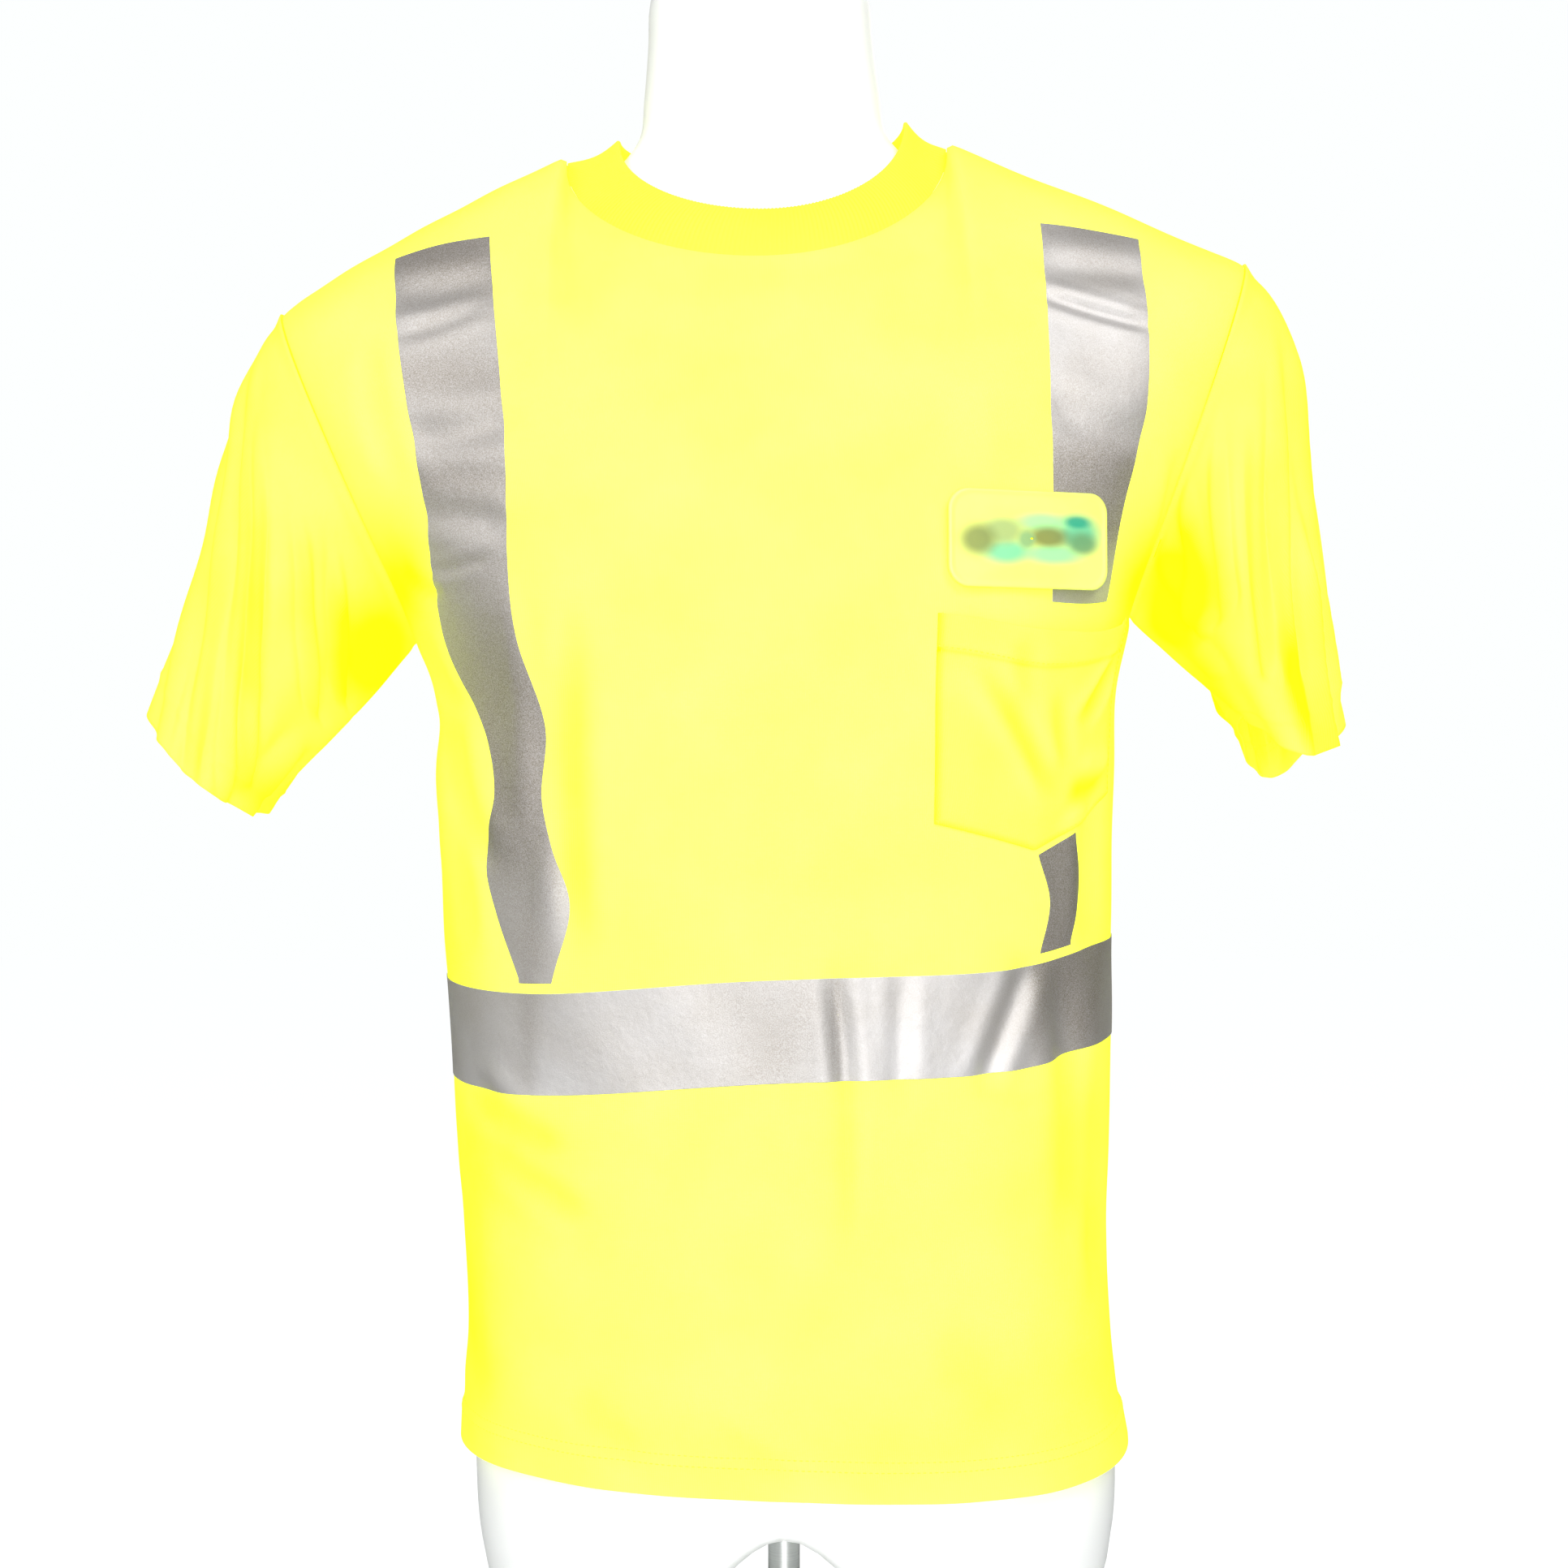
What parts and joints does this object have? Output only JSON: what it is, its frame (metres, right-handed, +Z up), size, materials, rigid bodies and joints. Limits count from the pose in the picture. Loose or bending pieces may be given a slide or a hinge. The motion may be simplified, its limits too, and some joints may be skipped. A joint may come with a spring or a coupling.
{
  "type": "hi-vis t-shirt on a dress form",
  "caption": "Short-sleeved yellow hi-vis work t-shirt with silver reflective tape, neck rib, chest pocket and badge, worn by a white limbless dress form on a pole and round foot.",
  "frame": {"origin": "middle of the underside of the round foot, on the surface the form stands on", "axes": "+Z up, the front of the shirt faces -Y, +X is the wearer's left, where the pocket is"},
  "size_m": [0.634, 0.33, 1.135],
  "materials": {
    "jersey": "fluorescent yellow jersey knit, matt",
    "rib_knit": "fluorescent yellow rib knit, matt",
    "reflective_tape": "silver retro-reflective film, satin, finely grained",
    "badge": "soft pale yellow plastic with a rounded rim",
    "form": "white, smooth, softly glossy",
    "stand": "satin grey metal"
  },
  "bodies": {
    "root": {"front_panel": "jersey", "back_panel": "jersey", "sleeve_right": "jersey", "sleeve_left": "jersey", "chest_pocket": "jersey", "neck_rib": "rib_knit", "tape_front_right": "reflective_tape", "tape_front_left_upper": "reflective_tape", "tape_front_left_lower": "reflective_tape", "tape_back_right": "reflective_tape", "tape_back_left": "reflective_tape", "band_front": "reflective_tape", "band_back": "reflective_tape", "badge": "badge", "dress_form": "form", "pole": "stand", "base": "stand"}
  },
  "joints": []
}
